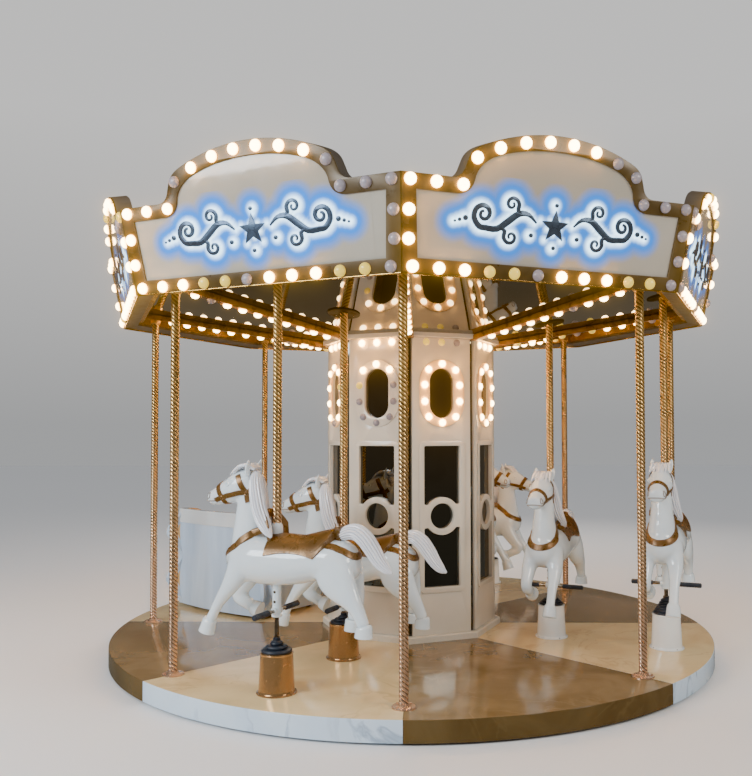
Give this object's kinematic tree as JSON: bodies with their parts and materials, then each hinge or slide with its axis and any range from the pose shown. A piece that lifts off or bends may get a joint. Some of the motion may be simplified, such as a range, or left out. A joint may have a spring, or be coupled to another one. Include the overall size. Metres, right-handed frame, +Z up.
{
  "type": "fairground carousel",
  "caption": "Turntable carousel with a mirrored eight-sided column and canopy, jumping horses on brass poles and a bench carriage.",
  "frame": {"origin": "centre of the round base, at floor level", "axes": "+Z up along the turntable's axis; -Y towards the picture's camera; +X to the right of that view"},
  "size_m": [4.3046, 4.3046, 2.9069],
  "materials": {
    "base_steel": "matt black paint",
    "mirror": "polished",
    "white_lacquer": "glossy",
    "horse_white": "glossy",
    "seat_lacquer": "glossy",
    "gold_lacquer": "gloss paint",
    "board_face": "glossy",
    "roof_paint": "satin paint",
    "brown_deck": "polished",
    "cream_deck": "polished",
    "brass": "polished",
    "bronze_cup": "gloss bronze paint",
    "white_cup": "gloss paint"
  },
  "bodies": {
    "base": {"turntable_base": "base_steel"},
    "carousel": {"deck_sector_1": "brown_deck", "deck_sector_2": "cream_deck", "deck_sector_3": "brown_deck", "deck_sector_4": "cream_deck", "deck_sector_5": "brown_deck", "deck_sector_6": "cream_deck", "deck_sector_7": "brown_deck", "deck_sector_8": "cream_deck", "rim_pole_1": "brass", "rim_pole_2": "brass", "rim_pole_3": "brass", "rim_pole_4": "brass", "rim_pole_5": "brass", "rim_pole_6": "brass", "rim_pole_7": "brass", "rim_pole_8": "brass", "column_core": "mirror", "column_plinth": "white_lacquer", "column_panel_1": "white_lacquer", "column_panel_2": "white_lacquer", "column_panel_3": "white_lacquer", "column_panel_4": "white_lacquer", "column_panel_5": "white_lacquer", "column_panel_6": "white_lacquer", "column_panel_7": "white_lacquer", "column_panel_8": "white_lacquer", "canopy_ribs": "gold_lacquer", "ceiling": "mirror", "soffit_ring": "gold_lacquer", "canopy_board_1": "board_face", "canopy_board_2": "board_face", "canopy_board_3": "board_face", "canopy_board_4": "board_face", "canopy_board_5": "board_face", "canopy_board_6": "board_face", "canopy_board_7": "board_face", "canopy_board_8": "board_face", "roof": "roof_paint", "carriage_shell": "white_lacquer", "carriage_bench": "seat_lacquer", "cup_1": "bronze_cup", "cup_2": "bronze_cup", "cup_3": "white_cup", "cup_4": "white_cup", "cup_5": "white_cup", "cup_6": "white_cup"},
    "horse_1": {"horse_1": "horse_white", "horse_pole_1": "brass"},
    "horse_2": {"horse_2": "horse_white", "horse_pole_2": "brass"},
    "horse_3": {"horse_3": "horse_white", "horse_pole_3": "brass"},
    "horse_4": {"horse_4": "horse_white", "horse_pole_4": "brass"},
    "horse_5": {"horse_5": "horse_white", "horse_pole_5": "brass"},
    "horse_6": {"horse_6": "horse_white", "horse_pole_6": "brass"}
  },
  "joints": [
    {"name": "carousel_turn", "type": "hinge", "parent": "base", "child": "carousel", "pos_m": [0, 0, 0], "axis": [0, 0, 1], "continuous": true},
    {"name": "horse_1_lift", "type": "slide", "parent": "carousel", "child": "horse_1", "axis": [0, 0, 1], "range_m": [-0.099, 0.005]},
    {"name": "horse_2_lift", "type": "slide", "parent": "carousel", "child": "horse_2", "axis": [0, 0, 1], "range_m": [-0.006, 0.113]},
    {"name": "horse_3_lift", "type": "slide", "parent": "carousel", "child": "horse_3", "axis": [0, 0, 1], "range_m": [-0.037, 0.03]},
    {"name": "horse_4_lift", "type": "slide", "parent": "carousel", "child": "horse_4", "axis": [0, 0, 1], "range_m": [-0.006, 0.095]},
    {"name": "horse_5_lift", "type": "slide", "parent": "carousel", "child": "horse_5", "axis": [0, 0, 1], "range_m": [-0.006, 0.142]},
    {"name": "horse_6_lift", "type": "slide", "parent": "carousel", "child": "horse_6", "axis": [0, 0, 1], "range_m": [-0.006, 0.065]}
  ]
}
